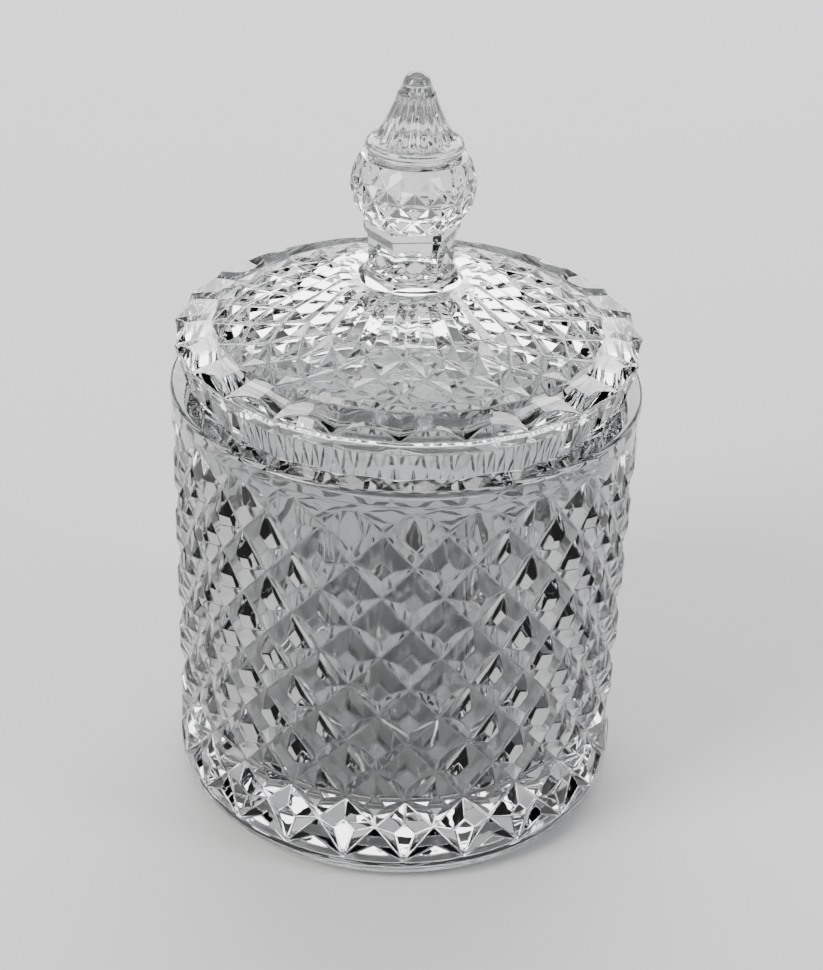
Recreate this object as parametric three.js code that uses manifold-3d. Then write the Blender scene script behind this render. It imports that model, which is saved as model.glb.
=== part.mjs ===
// Powder jar of pressed crystal glass: a cylindrical jar cut with a lattice of diamond points, and a
// lift-off lid with a fluted edge, a diamond-cut crown and a finial pressed in one with it.
// Units are millimetres, +Z is up, and the origin is the centre of the face that the jar stands on.
// Azimuth 0 is the front (-Y) and grows towards +X.
import * as THREE from "three";
import { mergeVertices } from "three/addons/utils/BufferGeometryUtils.js";
import Module from "manifold-3d";

// ---- Driving dimensions ----------------------------------------------------------------------
const FLUTES = 24; // diamonds round the jar, and flutes round the lid
const HALF_STEPS = 2 * FLUTES; // a lattice row has a node every half diamond

const FOOT = { recessRadius: 38, recessDepth: 1.2, innerRadius: 39.2, corner: 5.9 };
const JAR = {
  bandRadius: 52.4, // plain band round the base
  landRadius: 51.9, // flat tops of the diamonds
  landSize: 0.35, // of a whole diamond
  grooveRadius: 49.9, // where two grooves cross
  latticeBottom: 6.5,
  halfRow: 7.625, // half the height of a diamond
  halfRows: 11,
  collarRadius: 51.6, // plain band above the diamonds
  bandPointRow: 0.56, // where the band rises between two diamonds, in rows
  archRow: 0.8, // top of an arch over a diamond, in rows above the last
  archHalfWidth: 0.25, // of a whole diamond's
  collarPointRow: 0.33, // where the collar comes down between two arches
  rimRadius: 52,
  lip: 1.2, // rounding of the rim
  height: 101.5,
  phase: 3.7, // degrees that the lattice is turned from the front
};
const HOLLOW = { mouthRadius: 45.6, floorRadius: 44.6, floorHeight: 16, floorCorner: 4 };

const SEAT_GAP = 0.3; // between the jar's rim and the lid
const LID = { phase: -0.9, seatHeight: JAR.height + SEAT_GAP };
const CEILING = 120; // of the hollow under the lid
const FLANGE = { radius: 45, innerRadius: 41.5, depth: 4.8 };
const SKIRT = {
  ridgeRadius: 48.1,
  fluteRadius: 46.9,
  topRidge: [51.15, 112.45], // radius and height, as for the two below
  topFlute: [50.2, 112.1],
  lens: [48.3, 113.95], // inner end of the smooth facet at the top of each flute
};
const NECK = { phase: -0.1, footRadius: 11.5, footHeight: 125.4, ledgeRadius: 9.7, top: 138.35 };

const BALL = { diamonds: 14, phase: 1.9, radius: 13.46, halfHeight: 11.5, centre: 146.3 };
const SPIRE = { ribs: 18, collarRadius: 10.3, tipRadius: 3.1, height: 170 };

const degrees = THREE.MathUtils.degToRad;

// ---- Rings and surfaces ------------------------------------------------------------------------
// The node at an azimuth in degrees, with whether two ribs cross there.
function node(azimuth, radius, height, crossing = false) {
  const angle = degrees(azimuth);
  const position = new THREE.Vector3(radius * Math.sin(angle), -radius * Math.cos(angle), height);
  return { position, crossing };
}

// A ring is a closed loop of nodes, here at equal steps of azimuth.
function plainRing(sides, phase, radius, height) {
  return Array.from({ length: sides }, (_, i) => node(phase + (360 * i) / sides, radius, height));
}

// A ring whose even and odd nodes lie at two places, given as [radius, height].
function pairedRing(sides, phase, even, odd, crossingOnEven = false) {
  return Array.from({ length: sides }, (_, i) => {
    const isEven = i % 2 === 0;
    return node(phase + (360 * i) / sides, ...(isEven ? even : odd), isEven === crossingOnEven);
  });
}

// A ring across a field of pits: ribs cross at every other node, and the bottom of a pit lies
// between. The two change places from row to row.
function pitRing(sides, phase, row, crossing, pit) {
  const crossingOnEven = row % 2 === 1;
  const [even, odd] = crossingOnEven ? [crossing, pit] : [pit, crossing];
  return pairedRing(sides, phase, even, odd, crossingOnEven);
}

// A surface is a list of triangles, whose corners run anticlockwise seen from outside the glass.
// A corner at the same place as the one before it is left out.
function polygon(...nodes) {
  const corners = nodes.filter(({ position }, i) => !position.equals(nodes.at(i - 1).position));
  return corners.slice(2).flatMap((last, i) => [corners[0], corners[i + 1], last]);
}

// The band between two rings with the same number of nodes. A square of it is folded along its rib
// where it has one.
function band(lower, upper) {
  return lower.flatMap((a, i) => {
    const next = (i + 1) % lower.length;
    const [b, c, d] = [lower[next], upper[next], upper[i]];
    return a.crossing && c.crossing ? polygon(a, b, c, d) : polygon(b, c, d, a);
  });
}

// A stack of bands, closed by a point on the axis at the start or the end where one is given.
function skin(rings, { startHeight, endHeight } = {}) {
  const fan = (ring, height) => {
    const centre = node(0, 0, height);
    return ring.flatMap((a, i) => [centre, a, ring[(i + 1) % ring.length]]);
  };
  const triangles = rings.slice(1).flatMap((ring, i) => band(rings[i], ring));
  if (startHeight !== undefined) triangles.push(...fan(rings[0].toReversed(), startHeight));
  if (endHeight !== undefined) triangles.push(...fan(rings.at(-1), endHeight));
  return triangles;
}

function surfaceGeometry(triangles) {
  const corners = triangles.map(({ position }) => position);
  return new THREE.BufferGeometry().setFromPoints(corners);
}

// Points on an arc of a circle from one angle to another, as [radius, height].
function arc(centreRadius, centreHeight, size, fromDegrees, toDegrees, steps) {
  return Array.from({ length: steps + 1 }, (_, i) => {
    const angle = degrees(THREE.MathUtils.lerp(fromDegrees, toDegrees, i / steps));
    return [centreRadius + size * Math.cos(angle), centreHeight + size * Math.sin(angle)];
  });
}

// ---- Jar ---------------------------------------------------------------------------------------
// A place on the lattice, in half diamonds round the jar and half rows up it. Grooves cross where
// column + row is even, and a diamond is centred where it is odd.
function latticeNode(column, row, radius) {
  const azimuth = JAR.phase + (360 * column) / HALF_STEPS;
  return node(azimuth, radius, JAR.latticeBottom + row * JAR.halfRow);
}

const columnsFrom = (first) => Array.from({ length: FLUTES }, (_, i) => first + 2 * i);
const grooveCrossing = (column, row) => latticeNode(column, row, JAR.grooveRadius);
const land = (column, row) => latticeNode(column, row, JAR.landRadius);
const { landSize, bandRadius, collarRadius, halfRows } = JAR;

// Where the lowest grooves run out into the plain band, and the point of that band between them.
const grooveEnd = (column) => latticeNode(column, 0, bandRadius);
const bandPoint = (column) => latticeNode(column, JAR.bandPointRow, bandRadius);

// Where the highest grooves run out into the plain collar, on either side of the arch over a
// diamond, and the point of the collar between two arches.
const archSide = (column, side) =>
  latticeNode(column + JAR.archHalfWidth * side, halfRows + JAR.archRow, collarRadius);
const collarPoint = (column) => latticeNode(column, halfRows + JAR.collarPointRow, collarRadius);

function wholeDiamond(column, row) {
  const [left, right] = [grooveCrossing(column - 1, row), grooveCrossing(column + 1, row)];
  const [bottom, top] = [grooveCrossing(column, row - 1), grooveCrossing(column, row + 1)];
  const [landLeft, landRight] = [land(column - landSize, row), land(column + landSize, row)];
  const [landBottom, landTop] = [land(column, row - landSize), land(column, row + landSize)];
  return [
    ...polygon(left, bottom, landBottom, landLeft),
    ...polygon(bottom, right, landRight, landBottom),
    ...polygon(right, top, landTop, landRight),
    ...polygon(top, left, landLeft, landTop),
    ...polygon(landBottom, landRight, landTop, landLeft),
  ];
}

// The lowest diamonds, whose lower grooves run out into the plain band.
function bottomDiamond(column) {
  const row = 1;
  const [left, right] = [grooveCrossing(column - 1, row), grooveCrossing(column + 1, row)];
  const top = grooveCrossing(column, row + 1);
  const [landLeft, landRight] = [land(column - landSize, row), land(column + landSize, row)];
  const landTop = land(column, row + landSize);
  const end = grooveEnd(column);
  return [
    ...polygon(left, end, landLeft),
    ...polygon(end, right, landRight),
    ...polygon(right, top, landTop, landRight),
    ...polygon(top, left, landLeft, landTop),
    ...polygon(landTop, landLeft, end, landRight),
    ...polygon(left, bandPoint(column - 1), end),
    ...polygon(right, end, bandPoint(column + 1)),
  ];
}

// The highest diamonds, whose upper grooves run out in an arch.
function topDiamond(column) {
  const row = halfRows;
  const [left, right] = [grooveCrossing(column - 1, row), grooveCrossing(column + 1, row)];
  const bottom = grooveCrossing(column, row - 1);
  const [landLeft, landRight] = [land(column - landSize, row), land(column + landSize, row)];
  const landBottom = land(column, row - landSize);
  const [archLeft, archRight] = [archSide(column, -1), archSide(column, 1)];
  return [
    ...polygon(left, bottom, landBottom, landLeft),
    ...polygon(bottom, right, landRight, landBottom),
    ...polygon(left, landLeft, archLeft),
    ...polygon(right, archRight, landRight),
    ...polygon(landBottom, landRight, archRight, archLeft, landLeft),
    ...polygon(left, archLeft, collarPoint(column - 1)),
    ...polygon(right, collarPoint(column + 1), archRight),
  ];
}

function jarGeometry() {
  const lowerRing = ([radius, height]) => plainRing(HALF_STEPS, JAR.phase, radius, height);
  const foot = [
    [FOOT.recessRadius, FOOT.recessDepth],
    [FOOT.innerRadius, 0],
    ...arc(bandRadius - FOOT.corner, FOOT.corner, FOOT.corner, -90, 0, 4),
  ].map(lowerRing);
  const bandEdge = columnsFrom(0).flatMap((column) => [grooveEnd(column), bandPoint(column + 1)]);

  const diamonds = columnsFrom(0).flatMap((column) => [bottomDiamond(column), topDiamond(column)]);
  for (let row = 2; row < halfRows; row++) {
    columnsFrom(row + 1).forEach((column) => diamonds.push(wholeDiamond(column, row)));
  }

  // Above the arches a ring has three nodes to a diamond.
  const collarEdge = columnsFrom(0).flatMap((column) => [
    archSide(column, -1),
    archSide(column, 1),
    collarPoint(column + 1),
  ]);
  const upperSides = collarEdge.length;
  const upperPhase = JAR.phase - 360 / upperSides / 2;
  const upperRing = ([radius, height]) => plainRing(upperSides, upperPhase, radius, height);
  const { lip } = JAR;
  const rim = [
    [JAR.rimRadius, JAR.height - 2 * lip],
    ...arc(JAR.rimRadius - lip, JAR.height - lip, lip, 0, 90, 3),
    [HOLLOW.mouthRadius + lip / 2, JAR.height],
    [HOLLOW.mouthRadius, JAR.height - lip / 2],
  ].map(upperRing);

  const { floorRadius, floorHeight, floorCorner } = HOLLOW;
  const cornerCentre = [floorRadius - floorCorner, floorHeight + floorCorner];
  const inside = arc(...cornerCentre, floorCorner, 0, -90, 3).map(upperRing);
  return surfaceGeometry([
    ...skin([...foot, bandEdge], { startHeight: FOOT.recessDepth }),
    ...diamonds.flat(),
    ...skin([collarEdge, ...rim, ...inside], { endHeight: floorHeight }),
  ]);
}

// ---- Lid ---------------------------------------------------------------------------------------
// Radius of a hexagon at a turn from the neck's phase, from the radius at its corners.
const FIRST_CORNER = -22.5;
function hexagonRadius(cornerRadius, turn) {
  const fromFace = THREE.MathUtils.euclideanModulo(turn - FIRST_CORNER, 60) - 30;
  return (cornerRadius * Math.cos(degrees(30))) / Math.cos(degrees(fromFace));
}

// The neck is a hexagonal prism that a round flare overtakes at its foot, so that the flare's upper
// edge runs in an arch over each face.
function neckRing([height, cornerRadius, flareRadius]) {
  return Array.from({ length: HALF_STEPS }, (_, i) => {
    const turn = (360 * i) / HALF_STEPS;
    const radius = Math.max(hexagonRadius(cornerRadius, turn), flareRadius);
    return node(NECK.phase + turn, radius, height);
  });
}

function lidGeometry() {
  const plain = ([radius, height]) => plainRing(HALF_STEPS, LID.phase, radius, height);
  const paired = (even, odd) => pairedRing(HALF_STEPS, LID.phase, even, odd);
  const seat = LID.seatHeight;

  const underside = [
    [10, 119.6],
    [20, 118],
    [28, 116.2],
    [35, 114],
    [39.5, 111],
    [FLANGE.innerRadius, 107.5],
    [FLANGE.innerRadius, seat - FLANGE.depth],
    [FLANGE.radius, seat - FLANGE.depth],
    [FLANGE.radius, seat],
  ].map(plain);

  // The skirt leans outwards, with a ridge at each even node and a hollow flute between.
  const skirt = [
    paired([SKIRT.ridgeRadius, seat], [SKIRT.fluteRadius, seat]),
    paired(SKIRT.topRidge, SKIRT.topFlute),
    paired(SKIRT.topRidge, SKIRT.lens),
  ];

  // The crown, from its zigzag border inwards, as rows of pits between ribs.
  const crownRows = [
    { crossing: [42.8, 114.6], pit: [42, 114.6] },
    { crossing: [39.2, 116.6], pit: [39.2, 115.6] },
    { crossing: [35.5, 118.3], pit: [34.8, 117.1] },
    { crossing: [30, 119.9], pit: [30.5, 118.6] },
    { crossing: [25.7, 120.6], pit: [25.2, 119.65] },
  ];
  const border = paired([44.6, 113.9], crownRows[0].crossing);
  const crown = crownRows.map(({ crossing, pit }, row) =>
    pitRing(HALF_STEPS, LID.phase, row, crossing, pit),
  );

  // Rays climb from the last row to the foot of the neck, with a ridge and a valley by turns.
  const rays = [
    { radius: 22, valley: 121.4, ridge: 122.5 },
    { radius: 19, valley: 122.95, ridge: 124.1 },
    { radius: 16.6, valley: 124.6, ridge: 125.15 },
    { radius: 15.2, valley: 125.35, ridge: 125.62 },
    { radius: 13.3, valley: 125.42, ridge: 125.55 },
  ].map(({ radius, valley, ridge }) => paired([radius, valley], [radius, ridge]));

  // Height, radius at the corners of the hexagon and radius of the flare, each 0 where there is none.
  const neck = [
    [NECK.footHeight, 0, NECK.footRadius],
    [126.7, 0, 10],
    [128.3, 0, 9.4],
    [128.8, 9.2, 8.7],
    [129.8, 9.2, 8.25],
    [131.6, 9.2, 0],
    [132.6, 9.25, 0],
    [134.2, 9.4, 0],
    [136.6, 10.4, 0],
    [138, 10.45, 0],
    [NECK.top, 0, NECK.ledgeRadius],
  ].map(neckRing);
  const rings = [...underside, ...skirt, border, ...crown, ...rays, ...neck];
  return surfaceGeometry(skin(rings, { startHeight: CEILING, endHeight: NECK.top }));
}

// The finial's ball, with pits between ribs of its own. Its ends are buried in the neck and the
// spire.
function ballGeometry() {
  const sides = 2 * BALL.diamonds;
  const surface = (height) => {
    const away = (height - BALL.centre) / BALL.halfHeight;
    return BALL.radius * Math.sqrt(1 - away * away);
  };
  const plain = (radius, height) => plainRing(sides, BALL.phase, radius, height);
  const rows = [
    { height: 139.8, depth: 0.5 },
    { height: 142.75, depth: 1.1 },
    { height: 146, depth: 1.1 },
    { height: 148.8, depth: 1.1 },
    { height: 151.5, depth: 0.6 },
  ].map(({ height, depth }, row) => {
    const radius = surface(height);
    return pitRing(sides, BALL.phase, row, [radius, height], [radius - depth, height]);
  });
  const [buriedBottom, shoulder, buriedTop] = [137, 152.8, 154];
  const rings = [
    plain(8.4, buriedBottom),
    ...rows,
    plain(surface(shoulder), shoulder),
    plain(8.5, buriedTop),
  ];
  return surfaceGeometry(skin(rings, { startHeight: buriedBottom, endHeight: buriedTop }));
}

// The spire above the ball: a rounded collar, and a ribbed cone with a round tip.
function spireGeometry() {
  const sides = 2 * SPIRE.ribs;
  const plain = ([radius, height]) => plainRing(sides, 0, radius, height);
  const ribbed = (radius, depth, height) =>
    pairedRing(sides, 0, [radius, height], [radius - depth, height]);
  const collarHalf = 1.4;
  const collarRadius = SPIRE.collarRadius - collarHalf;
  const collarHeight = 154.4;
  const collar = arc(collarRadius, collarHeight, collarHalf, -90, 90, 6).map(plain);
  const cone = [
    ribbed(8.3, 0.7, 156.3),
    ribbed(5.8, 0.35, 161.2),
    ribbed(4.05, 0.05, 165.2),
    plain([3.45, 166.2]),
  ];
  const { height, tipRadius } = SPIRE;
  const tip = arc(0, height - tipRadius, tipRadius, 15, 75, 4).map(plain);
  const startHeight = collarHeight - collarHalf;
  return surfaceGeometry(skin([...collar, ...cone, ...tip], { startHeight, endHeight: height }));
}

// ---- Joining -----------------------------------------------------------------------------------
const wasm = await Module();
wasm.setup();

function toSolid(geometry) {
  const merged = mergeVertices(geometry, 1e-4);
  return new wasm.Manifold(
    new wasm.Mesh({
      numProp: 3,
      vertProperties: merged.attributes.position.array,
      triVerts: new Uint32Array(merged.index.array),
    }),
  );
}

function toGeometry(solid) {
  const { vertProperties, triVerts } = solid.getMesh();
  const geometry = new THREE.BufferGeometry();
  geometry.setAttribute("position", new THREE.BufferAttribute(vertProperties, 3));
  geometry.setIndex(new THREE.BufferAttribute(triVerts, 1));
  return geometry;
}

const joinedLid = [ballGeometry(), spireGeometry()].reduce(
  (solid, geometry) => solid.add(toSolid(geometry)),
  toSolid(lidGeometry()),
);

// ---- Scene graph -------------------------------------------------------------------------------
function glassMesh(name, geometry, colour) {
  const material = new THREE.MeshStandardMaterial({
    color: colour,
    roughness: 0.04,
    metalness: 0,
    transparent: true,
    opacity: 0.4,
    flatShading: true,
  });
  const mesh = new THREE.Mesh(geometry, material);
  mesh.name = name;
  return mesh;
}

const jar = new THREE.Group();
jar.name = "powder_jar";
jar.add(glassMesh("jar_body", jarGeometry(), 0xdfe3e4));
jar.add(glassMesh("lid", toGeometry(joinedLid), 0xe9ecec));

export default jar;
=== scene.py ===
"""Powder jar of clear pressed crystal, with its lid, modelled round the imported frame.

Both glass pieces are built here as finished meshes from nearly the same sizes as the frame's: their
facets are laid out as flat polygons, and a bevel then rounds each edge as fire polishing does.
Azimuth 0 is the front (-Y) and grows towards +X. Lengths in the tables are millimetres.
"""

import math

import bmesh
import bpy
from mathutils import Matrix, Vector


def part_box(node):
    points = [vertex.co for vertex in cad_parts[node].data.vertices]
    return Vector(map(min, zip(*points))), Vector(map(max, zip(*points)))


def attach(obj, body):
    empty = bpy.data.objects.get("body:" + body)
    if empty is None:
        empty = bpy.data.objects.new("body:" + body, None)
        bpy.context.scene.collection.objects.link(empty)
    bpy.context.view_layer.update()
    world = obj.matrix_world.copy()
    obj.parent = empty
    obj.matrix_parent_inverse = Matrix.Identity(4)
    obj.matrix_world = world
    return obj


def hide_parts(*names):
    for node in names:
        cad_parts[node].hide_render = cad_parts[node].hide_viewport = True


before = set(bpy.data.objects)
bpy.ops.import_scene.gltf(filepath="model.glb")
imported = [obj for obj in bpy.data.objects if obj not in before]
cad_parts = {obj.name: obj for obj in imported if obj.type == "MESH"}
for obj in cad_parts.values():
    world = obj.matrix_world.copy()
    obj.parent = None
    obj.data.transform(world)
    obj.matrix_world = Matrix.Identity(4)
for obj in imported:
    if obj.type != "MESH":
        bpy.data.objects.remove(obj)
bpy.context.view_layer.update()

MM = 0.001


# ---- Sizes ---------------------------------------------------------------------------------------
jar_low, jar_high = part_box("jar_body")
_, lid_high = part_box("lid")
BAND_RADIUS = (jar_high.x - jar_low.x) / 2 / MM  # the plain band round the base
JAR_HEIGHT = jar_high.z / MM
TOP = lid_high.z / MM

HALF_STEPS = 48  # half diamonds round the jar, and half flutes round the lid
FINE = 4  # nodes to a half step on the plain, round surfaces
ROUND = HALF_STEPS * FINE

JAR_PHASE = 3.7
LATTICE_BOTTOM = 6.5
HALF_ROW = 7.625
HALF_ROWS = 11
BAND_POINT_ROW = 0.56  # of the points of the plain band's zigzag edge
COLLAR_POINT_ROW = HALF_ROWS + 0.33  # of the collar's points, between the arches
ARCH_ROW = HALF_ROWS + 0.8  # of the tops of the arches
LAND_RADIUS = 51.9
LAND_SWELL = 0.06  # how far the middle of each land stands out
LAND_SIZE = 0.35
GROOVE_RADIUS = 49.9
COLLAR_RADIUS = 51.65
ARCH_HALF_WIDTH = 1 / FINE  # of the top of each arch, so that its nodes line up with the collar's
RIM_RADIUS = 52.0
INNER_FLOOR = 16.0
LAND_ROUNDING = 0.32
GROOVE_ROUNDING = 0.32

LID_PHASE = -0.9
SEAT = JAR_HEIGHT + 0.3
CEILING = 120.0  # of the inside of the lid
SKIRT_RIDGE = (51.15, 112.45)  # radius and height of the widest place on a ridge of the lid's edge
SKIRT_FLUTE = (50.2, 112.1)  # and in the middle of a flute
RIB_ROUNDING = 0.5
RAY_ROUNDING = 0.35
VALLEY_ROUNDING = 0.13
NECK_PHASE = -0.1
NECK_CORNER = 9.2  # radius at the corners of its hexagon
NECK_TOP = 138.35
BALL_CENTRE = 146.3
BALL_RADIUS = 13.46
BALL_HALF_HEIGHT = 11.5
BALL_DIAMONDS = 14
BALL_PHASE = 1.9
BALL_RIB_ROUNDING = 0.25
BALL_ROUNDING = 0.1
NECK_ROUNDING = 0.15
SPIRE_RIBS = 18
SPIRE_RIB_DEPTH = 0.32

USUAL_ROUNDING = 0.3
WIDEST_ROUNDING = 0.5


# ---- Mesh building -------------------------------------------------------------------------------
class Glass:
    """Points and faces of one closed piece. Faces run anticlockwise seen from outside the glass."""

    def __init__(self):
        self.points = []
        self.faces = []
        self.known = {}
        self.rounding = {}  # how far each edge's rounding reaches on to the facets beside it
        self.usual_rounding = USUAL_ROUNDING

    def node(self, azimuth, radius, height):
        """The number of the point there, which is made once."""
        key = (round(azimuth % 360, 4) % 360, round(radius, 4), round(height, 4))
        if key not in self.known:
            angle = math.radians(azimuth)
            x = radius * math.sin(angle)
            y = -radius * math.cos(angle)
            self.known[key] = len(self.points)
            self.points.append((x * MM, y * MM, height * MM))
        return self.known[key]

    def azimuth(self, index):
        x, y, _ = self.points[index]
        return math.degrees(math.atan2(x, -y))

    def ring(self, shape, sides=ROUND, phase=0.0):
        """A closed loop of nodes. shape(turn) gives radius and height, with turn in degrees."""
        turns = [360 * i / sides for i in range(sides)]
        return [self.node(phase + turn, *shape(turn)) for turn in turns]

    def face(self, *corners):
        """A polygon, less any corner that repeats the one before it."""
        kept = [c for i, c in enumerate(corners) if c != corners[i - 1]]
        if len(kept) > 2:
            self.faces.append(kept)
            for i, corner in enumerate(kept):
                self.rounding.setdefault(frozenset((kept[i - 1], corner)), self.usual_rounding)

    def round_along(self, corners, width):
        for a, b in zip(corners, corners[1:]):
            self.rounding[frozenset((a, b))] = width

    def band(self, lower, upper):
        for i, (a, d) in enumerate(zip(lower, upper)):
            after = (i + 1) % len(lower)
            self.face(a, lower[after], upper[after], d)

    def stack(self, rings):
        for lower, upper in zip(rings, rings[1:]):
            self.band(lower, upper)

    def stitch(self, lower, upper):
        """Triangles between two rings that have different numbers of nodes."""
        def turns(ring):
            angles = [(self.azimuth(i) - start) % 360 for i in ring]
            return angles + [360.0]

        start = self.azimuth(lower[0])
        shift = min(range(len(upper)), key=lambda i: (self.azimuth(upper[i]) - start) % 360)
        upper = upper[shift:] + upper[:shift]
        low_turns, up_turns = turns(lower), turns(upper)
        low, up = 0, 0
        while low < len(lower) or up < len(upper):
            a, d = lower[low % len(lower)], upper[up % len(upper)]
            take_low = up == len(upper)
            if low < len(lower) and up < len(upper):
                take_low = low_turns[low + 1] <= up_turns[up + 1]
            if take_low:
                low += 1
                self.face(a, lower[low % len(lower)], d)
            else:
                up += 1
                self.face(a, upper[up % len(upper)], d)

    def fan(self, ring, height, top):
        centre = self.node(0, 0, height)
        for i, a in enumerate(ring):
            b = ring[(i + 1) % len(ring)]
            self.face(*((a, b, centre) if top else (b, a, centre)))

    def pits(self, rows, rib_rounding):
        """A field of pits between ribs. Each row is a ring whose nodes are rib crossings and pit
        bottoms by turns, which change places from row to row. rows: (ring, crossings are even)."""
        for (lower, lower_even), (upper, _) in zip(rows, rows[1:]):
            for i, a in enumerate(lower):
                after = (i + 1) % len(lower)
                b, c, d = lower[after], upper[after], upper[i]
                if (i % 2 == 0) == lower_even:
                    self.face(a, b, c)
                    self.face(a, c, d)
                    self.round_along([a, c], rib_rounding)
                else:
                    self.face(a, b, d)
                    self.face(b, c, d)
                    self.round_along([b, d], rib_rounding)


def between(low, high, share):
    return low + (high - low) * share


def arc(centre_radius, centre_height, size, start, end, steps):
    """Points on an arc of a circle, from one angle to another, as (radius, height)."""
    angles = [math.radians(between(start, end, i / steps)) for i in range(steps + 1)]
    return [(centre_radius + size * math.cos(a), centre_height + size * math.sin(a)) for a in angles]


def round_rings(glass, outline, phase):
    return [glass.ring(lambda turn, p=point: p, ROUND, phase) for point in outline]


# ---- Jar -----------------------------------------------------------------------------------------
class Jar(Glass):
    """Grooves cross where column + row is even, and a diamond is centred where it is odd."""

    def place(self, column, row, radius):
        azimuth = JAR_PHASE + 360 * column / HALF_STEPS
        return self.node(azimuth, radius, LATTICE_BOTTOM + row * HALF_ROW)

    def crossing(self, column, row):
        return self.place(column, row, GROOVE_RADIUS)

    def land(self, column, row):
        return self.place(column, row, LAND_RADIUS)

    def land_centre(self, column, row):
        return self.place(column, row, LAND_RADIUS + LAND_SWELL)

    def line(self, start, end, steps):
        """Nodes along a line on the jar's side, each end given as (column, row, radius)."""
        return [
            self.place(*(between(a, b, i / steps) for a, b in zip(start, end)))
            for i in range(steps + 1)
        ]

    def band_edge(self, column, side):
        """From the end of the groove at the lowest corner of a diamond, up the edge of the plain
        band to its point beside that diamond."""
        end = (column, 0, BAND_RADIUS)
        point = (column + side, BAND_POINT_ROW, BAND_RADIUS)
        return self.line(end, point, FINE)

    def arch_edge(self, column, side):
        """From the point of the plain collar beside an arch, up to that side of its top."""
        point = (column + side, COLLAR_POINT_ROW, COLLAR_RADIUS)
        end = (column + ARCH_HALF_WIDTH * side, ARCH_ROW, COLLAR_RADIUS)
        return self.line(point, end, FINE - 1)

    def arch_top(self, column):
        left = (column - ARCH_HALF_WIDTH, ARCH_ROW, COLLAR_RADIUS)
        right = (column + ARCH_HALF_WIDTH, ARCH_ROW, COLLAR_RADIUS)
        return self.line(left, right, 2)

    def land_face(self, centre, corners):
        for i, a in enumerate(corners):
            self.face(a, corners[(i + 1) % len(corners)], centre)
        self.round_along([*corners, corners[0]], LAND_ROUNDING)

    def upper_walls(self, column, row):
        left, right = self.crossing(column - 1, row), self.crossing(column + 1, row)
        top = self.crossing(column, row + 1)
        land_left, land_right = self.land(column - LAND_SIZE, row), self.land(column + LAND_SIZE, row)
        land_top = self.land(column, row + LAND_SIZE)
        self.face(right, top, land_top, land_right)
        self.face(top, left, land_left, land_top)
        self.round_along([left, top, right], GROOVE_ROUNDING)

    def lower_walls(self, column, row):
        left, right = self.crossing(column - 1, row), self.crossing(column + 1, row)
        bottom = self.crossing(column, row - 1)
        land_left, land_right = self.land(column - LAND_SIZE, row), self.land(column + LAND_SIZE, row)
        land_bottom = self.land(column, row - LAND_SIZE)
        self.face(left, bottom, land_bottom, land_left)
        self.face(bottom, right, land_right, land_bottom)
        self.round_along([left, bottom, right], GROOVE_ROUNDING)

    def whole_diamond(self, column, row):
        self.upper_walls(column, row)
        self.lower_walls(column, row)
        corners = [
            self.land(column, row - LAND_SIZE),
            self.land(column + LAND_SIZE, row),
            self.land(column, row + LAND_SIZE),
            self.land(column - LAND_SIZE, row),
        ]
        self.land_face(self.land_centre(column, row), corners)

    def bottom_diamond(self, column):
        row = 1
        self.upper_walls(column, row)
        left, right = self.crossing(column - 1, row), self.crossing(column + 1, row)
        land_left, land_right = self.land(column - LAND_SIZE, row), self.land(column + LAND_SIZE, row)
        land_top = self.land(column, row + LAND_SIZE)
        left_edge, right_edge = self.band_edge(column, -1), self.band_edge(column, 1)
        end = left_edge[0]
        self.face(left, end, land_left)
        self.face(end, right, land_right)
        self.land_face(self.land_centre(column, row), [end, land_right, land_top, land_left])
        self.face(left, *reversed(left_edge))
        self.face(right, *right_edge)

    def top_diamond(self, column):
        row, higher = HALF_ROWS, 0.2  # its land reaches up into the arch, so its middle is higher
        self.lower_walls(column, row)
        left, right = self.crossing(column - 1, row), self.crossing(column + 1, row)
        land_left, land_right = self.land(column - LAND_SIZE, row), self.land(column + LAND_SIZE, row)
        land_bottom = self.land(column, row - LAND_SIZE)
        left_edge, right_edge = self.arch_edge(column, -1), self.arch_edge(column, 1)
        top = self.arch_top(column)
        self.face(left, land_left, top[0])
        self.face(right, top[-1], land_right)
        corners = [land_bottom, land_right, *reversed(top), land_left]
        self.land_face(self.land_centre(column, row + higher), corners)
        self.face(left, *reversed(left_edge))
        self.face(right, *right_edge)

    def build(self):
        for column in range(0, HALF_STEPS, 2):
            self.bottom_diamond(column)
            self.top_diamond(column)
        for row in range(2, HALF_ROWS):
            for column in range((row + 1) % 2, HALF_STEPS, 2):
                self.whole_diamond(column, row)
        self.foot()
        self.mouth()

    def foot(self):
        """The recess under the foot, the ring that the jar stands on and the corner outside it."""
        corner, recess, recess_radius, ring_radius = 5.9, 1.2, 38.0, 39.6
        outline = [
            (recess_radius - 12, recess),
            (recess_radius, recess),
            (recess_radius + 0.8, recess / 2),
            (ring_radius, 0),
            *arc(BAND_RADIUS - corner, corner, corner, -90, 0, 10),
        ]
        rings = round_rings(self, outline, JAR_PHASE)
        edge = []
        for column in range(0, HALF_STEPS, 2):
            edge += self.band_edge(column, 1)[:-1]
            edge += list(reversed(self.band_edge(column + 2, -1)))[:-1]
        self.fan(rings[0], recess, top=False)
        self.stack([*rings, edge])

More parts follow.
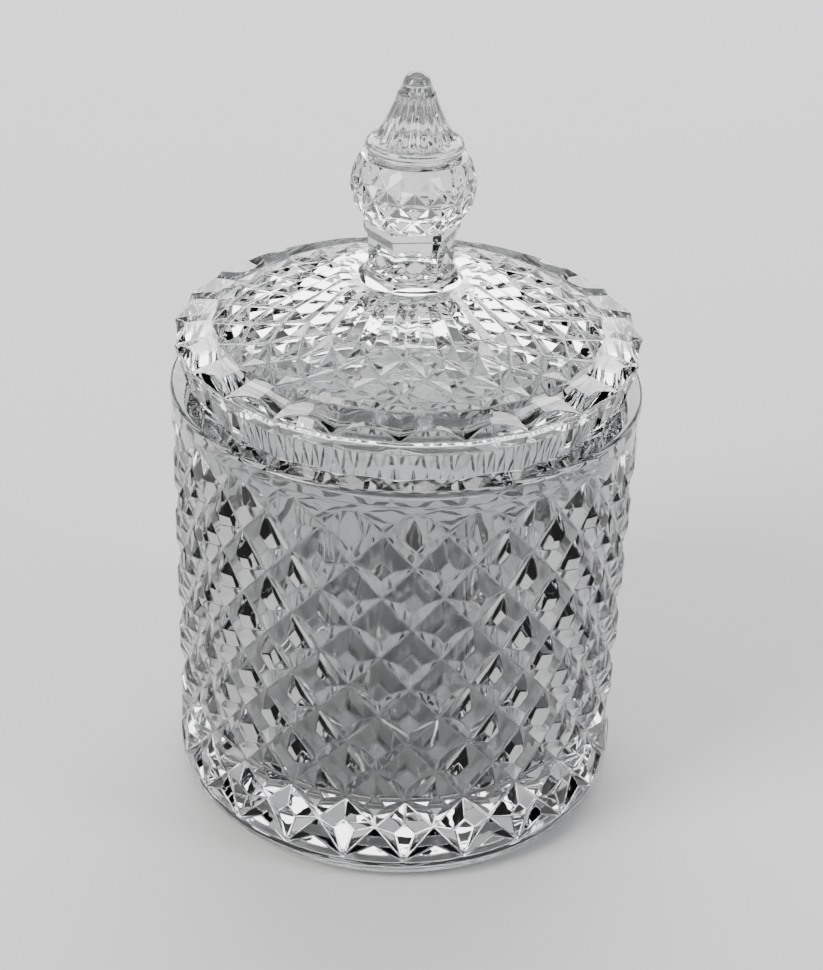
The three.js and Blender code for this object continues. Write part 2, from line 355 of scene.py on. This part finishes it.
    def mouth(self):
        """The collar and rim above the arches, and the inside of the jar down to its floor."""
        edge = []
        for column in range(0, HALF_STEPS, 2):
            edge += self.arch_top(column)[:-1]
            edge += list(reversed(self.arch_edge(column, 1)))[:-1]
            edge += self.arch_edge(column + 2, -1)[:-1]
        lip, inner_lip, mouth_radius, floor_radius, corner = 1.2, 0.7, 45.6, 44.6, 4.0
        outline = [
            (COLLAR_RADIUS + 0.1, JAR_HEIGHT - 4.4),
            (RIM_RADIUS - 0.03, JAR_HEIGHT - 3.2),
            *arc(RIM_RADIUS - lip, JAR_HEIGHT - lip, lip, 0, 90, 6),
            *arc(mouth_radius + inner_lip, JAR_HEIGHT - inner_lip, inner_lip, 90, 180, 4),
            *arc(floor_radius - corner, INNER_FLOOR + corner, corner, 0, -90, 8),
            (floor_radius - 14, INNER_FLOOR),
        ]
        phase = self.azimuth(edge[0])
        rings = round_rings(self, outline, phase)
        self.stack([edge, *rings])
        self.fan(rings[-1], INNER_FLOOR, top=True)


# ---- Lid -----------------------------------------------------------------------------------------
def lid_turn(turn):
    """Where a turn lies across its flute: -1 and 1 at the ridges, 0 in the middle."""
    flute = 720 / HALF_STEPS
    return 2 * (turn % flute) / flute - 1


def hexagon_share(turn):
    """A hexagon's radius at a turn as a share of its corner's, with corners between flutes."""
    first_corner = -3 * 360 / HALF_STEPS
    from_face = (turn - first_corner) % 60 - 30
    return math.cos(math.radians(30)) / math.cos(math.radians(from_face))


def face_share(turn):
    """1 in the middle of a face of the hexagon, and 0 at its corners."""
    return (1 - hexagon_share(turn)) / (1 - math.cos(math.radians(30)))


class Lid(Glass):
    def skirt_ring(self, ridge, flute):
        """A ring round the fluted edge; ridge and flute are (radius, height)."""
        def shape(turn):
            share = lid_turn(turn) ** 2
            return between(flute[0], ridge[0], share), between(flute[1], ridge[1], share)
        return self.ring(shape, ROUND, LID_PHASE)

    def paired(self, even, odd, sides, phase):
        step = 360 / sides
        return self.ring(lambda t: even if round(t / step) % 2 == 0 else odd, sides, phase)

    def pit_rows(self, rows, sides, phase):
        """rows: (rib crossing, pit bottom), with the pits of the first row at the even nodes."""
        rings = []
        for number, (crossing, pit) in enumerate(rows):
            crossings_even = number % 2 == 1
            pair = (crossing, pit) if crossings_even else (pit, crossing)
            rings.append((self.paired(*pair, sides, phase), crossings_even))
        return rings

    def build(self):
        underside = round_rings(self, self.underside_outline(), LID_PHASE)
        self.fan(underside[0], CEILING, top=False)
        skirt = [
            self.skirt_ring((48.1, SEAT), (46.9, SEAT)),
            self.skirt_ring((49.7, 107.2), (48.6, 107.1)),
            self.skirt_ring(SKIRT_RIDGE, SKIRT_FLUTE),
            self.skirt_ring(SKIRT_RIDGE, (48.3, 113.95)),
        ]
        self.stack([*underside, *skirt])
        crown_top = self.crown(skirt[-1])
        collar = self.neck(crown_top)
        ball_top = self.ball(collar)
        self.spire(ball_top)

    def underside_outline(self):
        """From near the middle of the domed ceiling, down the inside of the flange, round its foot
        and up its outside to the seat."""
        return [
            (5, 119.9),
            (10, 119.6),
            (15, 118.9),
            (20, 118.0),
            (24, 117.2),
            (28, 116.2),
            (31.5, 115.2),
            (35, 114.0),
            (37.5, 112.7),
            (39.5, 111.0),
            (40.8, 109.2),
            (41.5, 107.2),
            (41.5, 97.6),
            *arc(42.1, 97.6, 0.6, 180, 270, 3),
            *arc(44.4, 97.6, 0.6, -90, 0, 3),
            (45.0, 100.6),
            *arc(46.2, 100.6, 1.2, 180, 90, 4),
        ]

    def crown(self, rim):
        """From the rim, across the zigzag border and the pits, and up the rays to the foot of the
        neck."""
        border_even, border_odd = (44.6, 113.9), (42.8, 114.6)

        def border(turn):
            share = abs(lid_turn(turn))
            return tuple(between(odd, even, share) for odd, even in zip(border_odd, border_even))

        edge = self.ring(border, ROUND, LID_PHASE)
        self.band(rim, edge)
        self.round_along([*edge, edge[0]], RIB_ROUNDING)

        self.usual_rounding = VALLEY_ROUNDING
        rows = self.pit_rows([
            (border_odd, (42.0, 114.6)),
            ((39.2, 116.6), (39.2, 115.6)),
            ((35.5, 118.3), (34.8, 117.1)),
            ((30.0, 119.9), (30.5, 118.6)),
            ((25.7, 120.6), (25.2, 119.65)),
        ], HALF_STEPS, LID_PHASE)
        outer = rows[0][0]
        for i in range(0, HALF_STEPS, 2):
            corner = i * FINE
            before = [edge[(corner - k) % ROUND] for k in range(FINE, -1, -1)]
            after = [edge[(corner + k) % ROUND] for k in range(FINE + 1)]
            self.face(*before, outer[i])
            self.face(*after, outer[i])
        self.pits(rows, RIB_ROUNDING)

        rays = [
            self.paired((radius, valley), (radius, ridge), HALF_STEPS, LID_PHASE)
            for radius, valley, ridge in (
                (22.0, 121.4, 122.5),
                (19.0, 122.95, 124.1),
                (16.6, 124.6, 125.15),
                (15.2, 125.35, 125.62),
                (13.3, 125.42, 125.55),
            )
        ]
        self.stack([rows[-1][0], *rays])
        for ridge in zip(rows[-1][0][1::2], *(ring[1::2] for ring in rays)):
            self.round_along(ridge, RAY_ROUNDING)
        return rays[-1]

    def neck_ring(self, shape):
        return self.ring(shape, ROUND, NECK_PHASE)

    def hexagon_ring(self, corner, height):
        return self.neck_ring(lambda turn: (corner * hexagon_share(turn), height))

    def neck(self, rays):
        """A flat foot, a flare with a lens cut on each side of it, and a hexagonal prism that the
        flare meets in an arch on each face, with a collar at the top."""
        flare_foot = (10.0, 126.7)
        flare_top = (9.4, 128.3)
        arch_foot, arch_rise = 128.6, 3.0

        def lens_outside(turn):
            return between(10.9, 11.5, face_share(turn)), 125.4

        def lens_inside(turn):
            share = face_share(turn)
            return between(10.85, flare_foot[0], share), between(125.45, flare_foot[1], share)

        def flare_middle(turn):
            low = lens_inside(turn)
            return between(low[0], flare_top[0], 0.6) - 0.08, between(low[1], flare_top[1], 0.5)

        def arch(turn):
            return NECK_CORNER * hexagon_share(turn), arch_foot + arch_rise * face_share(turn) ** 3.5

        def flare_waist(turn):
            radius, height = arch(turn)
            return between(flare_top[0], radius, 0.7), between(flare_top[1], height, 0.3)

        foot = self.neck_ring(lambda turn: (12.6, 125.45))
        self.stitch(rays, foot)
        self.usual_rounding = NECK_ROUNDING
        ledge = self.neck_ring(lambda turn: (9.72, NECK_TOP))
        self.stack([
            foot,
            self.neck_ring(lens_outside),
            self.neck_ring(lens_inside),
            self.neck_ring(flare_middle),
            self.neck_ring(lambda turn: flare_top),
            self.neck_ring(flare_waist),
            self.neck_ring(arch),
            self.hexagon_ring(NECK_CORNER + 0.05, 132.6),
            self.hexagon_ring(9.4, 134.2),
            self.hexagon_ring(10.4, 136.6),
            self.hexagon_ring(10.45, 138.0),
            ledge,
        ])
        return ledge

    def ball(self, collar):
        """A flattened ball with a field of pits round its middle."""
        sides = 2 * BALL_DIAMONDS

        def surface(height):
            away = (height - BALL_CENTRE) / BALL_HALF_HEIGHT
            return BALL_RADIUS * math.sqrt(1 - away * away)

        self.usual_rounding = BALL_ROUNDING
        rows = self.pit_rows([
            ((surface(height), height), (surface(height) - depth, height))
            for height, depth in (
                (139.8, 0.5), (142.75, 1.1), (146.0, 1.1), (148.8, 1.1), (151.5, 0.6),
            )
        ], sides, BALL_PHASE)
        base = self.ring(lambda t: (surface(138.7), 138.7), 4 * sides, BALL_PHASE)
        top = self.ring(lambda t: (surface(152.7), 152.7), 4 * sides, BALL_PHASE)
        self.stitch(collar, base)
        self.stitch(base, rows[0][0])
        self.pits(rows, BALL_RIB_ROUNDING)
        self.stitch(rows[-1][0], top)
        return top

    def spire(self, ball_top):
        """A plain ring, then a cone whose ribs fade out towards its rounded tip."""
        sides = 8 * SPIRE_RIBS
        outline = [
            (9.5, 153.0),
            *arc(8.95, 154.5, 1.4, -80, 90, 10),
            (8.6, 156.0),
        ]
        rings = [self.ring(lambda t, p=point: p, sides) for point in outline]
        cone = [(8.25, 156.3), (7.4, 157.7), (6.4, 159.5), (5.3, 161.8), (4.4, 164.0), (4.1, 165.1)]
        for number, (radius, height) in enumerate(cone):
            depth = SPIRE_RIB_DEPTH * (1 - number / len(cone))

            def ribbed(turn, radius=radius, height=height, depth=depth):
                across = math.cos(math.radians(turn * SPIRE_RIBS))
                return radius - depth * (1 - across), height
            rings.append(self.ring(ribbed, sides))
        tip = 3.1
        end = [(4.0, 165.55), (3.5, 166.1), *arc(0, TOP - tip, tip, 10, 80, 7)]
        rings += [self.ring(lambda t, p=point: p, sides) for point in end]
        self.stitch(ball_top, rings[0])
        self.stack(rings)
        self.fan(rings[-1], TOP, top=True)


# ---- Finishing the meshes ------------------------------------------------------------------------
def weigh_edges(mesh, glass):
    """Gives each edge between two facets its share of the bevel's width, as far as the facets
    have room for it."""
    fold, most_of_room = math.radians(9), 0.45
    work = bmesh.new()
    work.from_mesh(mesh)
    weights = work.edges.layers.float.new("bevel_weight_edge")
    for edge in work.edges:
        if edge.calc_face_angle(0) > fold:
            room = min(face.calc_area() for face in edge.link_faces) / edge.calc_length() / MM
            width = glass.rounding[frozenset(vertex.index for vertex in edge.verts)]
            edge[weights] = min(width, most_of_room * room) / WIDEST_ROUNDING
    work.to_mesh(mesh)
    work.free()


def finish_piece(name, glass, material, node, body):
    """Makes the piece that takes the place of one frame node and moves with its body."""
    mesh = bpy.data.meshes.new(name)
    mesh.from_pydata(glass.points, [], glass.faces)
    mesh.polygons.foreach_set("use_smooth", [True] * len(mesh.polygons))
    weigh_edges(mesh, glass)
    piece = bpy.data.objects.new(name, mesh)
    bpy.context.scene.collection.objects.link(piece)
    mesh.materials.append(material)
    bevel = piece.modifiers.new("polished_edges", "BEVEL")
    bevel.width = WIDEST_ROUNDING * MM
    bevel.segments = 2
    bevel.limit_method = "WEIGHT"
    bevel.use_clamp_overlap = False
    bevel.harden_normals = True
    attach(piece, body)
    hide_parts(node)
    return piece


# ---- Materials -----------------------------------------------------------------------------------
def glass_material(name, shade_tint, deep_shade_tint):
    """Clear glass with a grey tint that is painted shade, so that it reads darker than the floor. Its
    tint, polish and surface vary a little, as they do on pressed glass.
    """
    material = bpy.data.materials.new(name)
    material.use_nodes = True
    nodes, links = material.node_tree.nodes, material.node_tree.links
    shader = nodes["Principled BSDF"]
    shader.inputs["IOR"].default_value = 1.52
    shader.inputs["Transmission Weight"].default_value = 1.0

    coordinates = nodes.new("ShaderNodeTexCoord")
    cloud = nodes.new("ShaderNodeTexNoise")
    cloud.inputs["Scale"].default_value = 28
    cloud.inputs["Detail"].default_value = 2
    links.new(coordinates.outputs["Object"], cloud.inputs["Vector"])
    # Both greys are painted shade that darkens whatever is seen through the glass; the cloud only
    # varies them a little at random
    colours = nodes.new("ShaderNodeValToRGB")
    colours.color_ramp.elements[0].position = 0.3
    colours.color_ramp.elements[0].color = (*deep_shade_tint, 1)
    colours.color_ramp.elements[1].position = 0.7
    colours.color_ramp.elements[1].color = (*shade_tint, 1)
    links.new(cloud.outputs["Fac"], colours.inputs["Fac"])
    links.new(colours.outputs["Color"], shader.inputs["Base Color"])

    polish = nodes.new("ShaderNodeMapRange")
    polish.inputs["To Min"].default_value = 0.0
    polish.inputs["To Max"].default_value = 0.012
    links.new(cloud.outputs["Fac"], polish.inputs["Value"])
    links.new(polish.outputs["Result"], shader.inputs["Roughness"])

    ripple = nodes.new("ShaderNodeTexNoise")
    ripple.inputs["Scale"].default_value = 160
    ripple.inputs["Detail"].default_value = 1
    links.new(coordinates.outputs["Object"], ripple.inputs["Vector"])
    bump = nodes.new("ShaderNodeBump")
    bump.inputs["Strength"].default_value = 0.05
    bump.inputs["Distance"].default_value = 0.0008
    links.new(ripple.outputs["Fac"], bump.inputs["Height"])
    links.new(bump.outputs["Normal"], shader.inputs["Normal"])
    return material


def floor_material():
    material = bpy.data.materials.new("pale_floor")
    material.use_nodes = True
    nodes, links = material.node_tree.nodes, material.node_tree.links
    shader = nodes["Principled BSDF"]
    shader.inputs["Roughness"].default_value = 0.6
    mottle = nodes.new("ShaderNodeTexNoise")
    mottle.inputs["Scale"].default_value = 3
    colours = nodes.new("ShaderNodeValToRGB")
    colours.color_ramp.elements[0].color = (0.60, 0.60, 0.60, 1)
    colours.color_ramp.elements[1].color = (0.64, 0.64, 0.635, 1)
    links.new(mottle.outputs["Fac"], colours.inputs["Fac"])
    links.new(colours.outputs["Color"], shader.inputs["Base Color"])
    return material


# ---- Stage ---------------------------------------------------------------------------------------
def make_floor():
    """A wide disc. The hair of air between it and the glass is what lets the foot shine."""
    sides, radius, air = 96, 3.0, 0.1 * MM
    ring = [2 * math.pi * i / sides for i in range(sides)]
    mesh = bpy.data.meshes.new("floor")
    points = [(radius * math.cos(a), radius * math.sin(a), -air) for a in ring]
    mesh.from_pydata(points, [], [list(range(sides))])
    floor = bpy.data.objects.new("floor", mesh)
    bpy.context.scene.collection.objects.link(floor)
    mesh.materials.append(floor_material())


def make_camera():
    """Looks down at the jar from the front, with the jar's top leaning a little to the right."""
    elevation, roll = math.radians(30.49), math.radians(2.18)
    distance, aside, target_height = 0.4238, 0.00194, 0.073
    data = bpy.data.cameras.new("camera")
    data.lens = 68.8
    camera = bpy.data.objects.new("camera", data)
    bpy.context.scene.collection.objects.link(camera)
    back = Vector((0, -math.cos(elevation), math.sin(elevation)))
    place = Vector((aside, 0, target_height)) + back * distance
    look = (-back).to_track_quat("-Z", "Y").to_matrix().to_4x4()
    camera.matrix_world = Matrix.Translation(place) @ look @ Matrix.Rotation(roll, 4, "Z")
    bpy.context.scene.camera = camera


def softbox(name, azimuth, elevation, distance, size, power, colour):
    data = bpy.data.lights.new(name, "AREA")
    data.shape = "RECTANGLE"
    data.size, data.size_y = size
    data.energy = power
    data.color = colour
    light = bpy.data.objects.new(name, data)
    bpy.context.scene.collection.objects.link(light)
    a, e = math.radians(azimuth), math.radians(elevation)
    towards = Vector((math.sin(a) * math.cos(e), -math.cos(a) * math.cos(e), math.sin(e)))
    light.location = Vector((0, 0, 0.08)) + towards * distance
    light.rotation_euler = towards.to_track_quat("Z", "Y").to_euler()


def make_world():
    """A dome that is pale round the horizon, dark above it and bright overhead."""
    world = bpy.data.worlds.new("studio")
    world.use_nodes = True
    nodes, links = world.node_tree.nodes, world.node_tree.links
    coordinates = nodes.new("ShaderNodeTexCoord")
    split = nodes.new("ShaderNodeSeparateXYZ")
    links.new(coordinates.outputs["Generated"], split.inputs["Vector"])
    ramp = nodes.new("ShaderNodeValToRGB")
    stops = ((0, 0.4), (0.2, 0.4), (0.3, 0.07), (0.8, 0.07), (0.88, 1.6), (1, 1.6))
    elements = ramp.color_ramp.elements
    elements.remove(elements[1])
    elements[0].position = stops[0][0]
    elements[0].color = (*[stops[0][1]] * 3, 1)
    for place, level in stops[1:]:
        elements.new(place).color = (level, level, level, 1)
    links.new(split.outputs["Z"], ramp.inputs["Fac"])
    links.new(ramp.outputs["Color"], nodes["Background"].inputs["Color"])
    bpy.context.scene.world = world


def make_lights():
    softbox("key", -55, 38, 1.4, (0.5, 0.8), 25, (1.0, 0.985, 0.95))
    softbox("fill", 70, 30, 1.5, (0.4, 0.8), 12, (0.93, 0.95, 1.0))
    softbox("back", 178, 30, 1.5, (2.0, 0.7), 36, (0.97, 0.96, 1.0))


# ---- Scene ---------------------------------------------------------------------------------------
make_camera()
make_floor()
make_world()
make_lights()

# Painted shade: jar and lid are the same clear crystal, tinted grey so that they read darker than the
# floor, and the jar's grey is much darker than the lid's so that the jar looks darker
jar_glass = glass_material("jar_glass", (0.58, 0.59, 0.595), (0.52, 0.53, 0.535))
lid_glass = glass_material("lid_glass", (0.83, 0.84, 0.835), (0.77, 0.78, 0.78))

jar = Jar()
jar.build()
finish_piece("cut_glass_jar", jar, jar_glass, "jar_body", "jar")
lid = Lid()
lid.build()
finish_piece("cut_glass_lid", lid, lid_glass, "lid", "lid")
